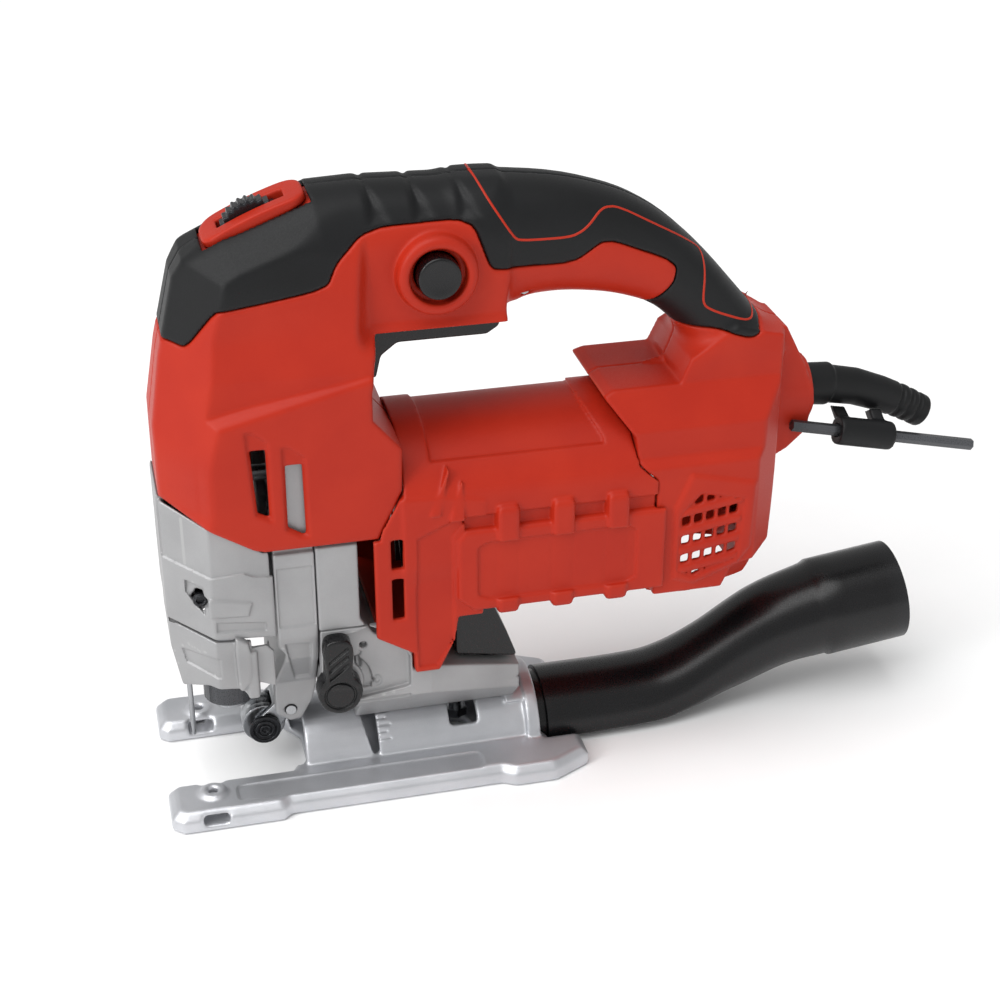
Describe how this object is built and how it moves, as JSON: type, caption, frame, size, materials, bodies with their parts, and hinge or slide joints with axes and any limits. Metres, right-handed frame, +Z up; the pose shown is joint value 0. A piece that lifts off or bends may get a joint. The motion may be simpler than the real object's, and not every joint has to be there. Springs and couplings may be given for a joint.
{
  "type": "jigsaw",
  "caption": "Corded D-handle jigsaw with orbital action, tool-less blade clamp, tilting cast base plate, speed dial, lock-on button and dust pipe.",
  "frame": {"origin": "on the sole of the base plate, half way along it and in the plane of the blade", "axes": "+Z up, -X the cutting direction, -Y the left side of the tool"},
  "size_m": [0.3259, 0.0846, 0.2403],
  "materials": {
    "red_plastic": "fine-grained satin",
    "soft_grip": "matt soft-touch",
    "black_plastic": "satin",
    "cast_aluminium": "bead-blasted die casting",
    "steel": "turned and ground",
    "copper_winding": "enamelled",
    "brass": "machined",
    "carbon": "pressed carbon",
    "blackened_steel": "black oxide"
  },
  "bodies": {
    "housing": {"left_shell": "red_plastic", "right_shell": "red_plastic", "left_overmould": "soft_grip", "right_overmould": "soft_grip", "dial_bezel": "red_plastic", "speed_control_module": "black_plastic", "trigger_switch": "black_plastic", "trigger_pin": "steel", "motor_housing": "red_plastic", "stator_core": "steel", "upper_field_coil": "copper_winding", "lower_field_coil": "copper_winding", "front_armature_bearing": "steel", "rear_armature_bearing": "steel", "left_brush_holder": "brass", "left_carbon_brush": "carbon", "right_brush_holder": "brass", "right_carbon_brush": "carbon", "gear_axle": "steel", "lower_plunger_bush": "brass", "upper_plunger_bush": "brass", "front_bearing_plate": "cast_aluminium", "fork_pin": "steel", "gear_case": "cast_aluminium", "base_clamp_screw": "steel", "nose_cover": "cast_aluminium", "left_nose_screw": "blackened_steel", "right_nose_screw": "blackened_steel", "finger_guard": "steel", "release_lever_pin": "steel", "duct_cover": "black_plastic", "cord_guard": "soft_grip", "shell_screw_1": "steel", "shell_screw_2": "steel", "shell_screw_3": "steel", "shell_screw_4": "steel", "shell_screw_5": "steel"},
    "armature": {"armature_shaft": "steel", "armature_core": "steel", "commutator": "copper_winding", "cooling_fan": "black_plastic"},
    "gear": {"drive_gear": "steel", "crank_pin": "steel"},
    "plunger": {"plunger": "steel", "blade_clamp": "steel"},
    "sleeve": {"clamp_sleeve": "blackened_steel"},
    "fork": {"roller_fork": "steel", "roller_pin": "blackened_steel"},
    "roller": {"guide_roller": "steel"},
    "selector": {"orbit_selector": "black_plastic", "orbit_cam_shaft": "steel"},
    "lever": {"blade_release_lever": "cast_aluminium"},
    "trigger": {"trigger": "black_plastic"},
    "button": {"lock_button": "black_plastic"},
    "dial": {"speed_dial": "black_plastic"},
    "base": {"base_plate": "cast_aluminium"},
    "pipe": {"dust_pipe": "black_plastic"},
    "key": {"hex_key": "blackened_steel"}
  },
  "joints": [
    {"name": "armature_spin", "type": "hinge", "parent": "housing", "child": "armature", "pos_m": [0, 0, 0.1125], "axis": [1, 0, 0], "continuous": true},
    {"name": "gear_spin", "type": "hinge", "parent": "housing", "child": "gear", "pos_m": [-0.03, 0, 0.1405], "axis": [1, 0, 0], "continuous": true},
    {"name": "plunger_stroke", "type": "slide", "parent": "housing", "child": "plunger", "axis": [0, 0, 1], "range_m": [0, 0.024]},
    {"name": "clamp_sleeve_turn", "type": "hinge", "parent": "plunger", "child": "sleeve", "pos_m": [-0.054, 0, 0.04], "axis": [0, 0, 1], "range_deg": [0, 40], "stiffness_Nm_per_rad": 0.2, "springref_deg": -5.73},
    {"name": "roller_fork_swing", "type": "hinge", "parent": "housing", "child": "fork", "pos_m": [-0.0326, 0, 0.0325], "axis": [0, 1, 0], "range_deg": [0, 6]},
    {"name": "guide_roller_spin", "type": "hinge", "parent": "fork", "child": "roller", "pos_m": [-0.0424, 0, 0.02], "axis": [0, 1, 0], "continuous": true},
    {"name": "orbit_selector_turn", "type": "hinge", "parent": "housing", "child": "selector", "pos_m": [-0.0158, -0.033, 0.05], "axis": [0, 1, 0], "range_deg": [0, 90]},
    {"name": "blade_release_swing", "type": "hinge", "parent": "housing", "child": "lever", "pos_m": [-0.0418, 0.0258, 0.065], "axis": [0, 0, -1], "range_deg": [0, 35]},
    {"name": "trigger_pull", "type": "hinge", "parent": "housing", "child": "trigger", "pos_m": [0.009, 0, 0.191], "axis": [0, -1, 0], "range_deg": [0, 6], "stiffness_Nm_per_rad": 1.2, "springref_deg": -5.73},
    {"name": "lock_button_push", "type": "slide", "parent": "housing", "child": "button", "axis": [0, 1, 0], "range_m": [0, 0.004], "stiffness_N_per_m": 600, "springref_m": -0.002},
    {"name": "speed_dial_turn", "type": "hinge", "parent": "housing", "child": "dial", "pos_m": [-0.0329, 0, 0.2221], "axis": [0, 1, 0], "range_deg": [-120, 120]},
    {"name": "base_tilt", "type": "hinge", "parent": "housing", "child": "base", "pos_m": [0.03, 0, 0.004], "axis": [1, 0, 0], "range_deg": [-45, 45]},
    {"name": "dust_pipe_pull", "type": "slide", "parent": "base", "child": "pipe", "axis": [1, 0, 0], "range_m": [0, 0.02]},
    {"name": "hex_key_pull", "type": "slide", "parent": "housing", "child": "key", "axis": [0.9756, 0, -0.2195], "range_m": [0, 0.03]}
  ],
  "couplings": [
    {"joint": "gear_spin", "follows": "armature_spin", "ratio": -0.16667}
  ]
}
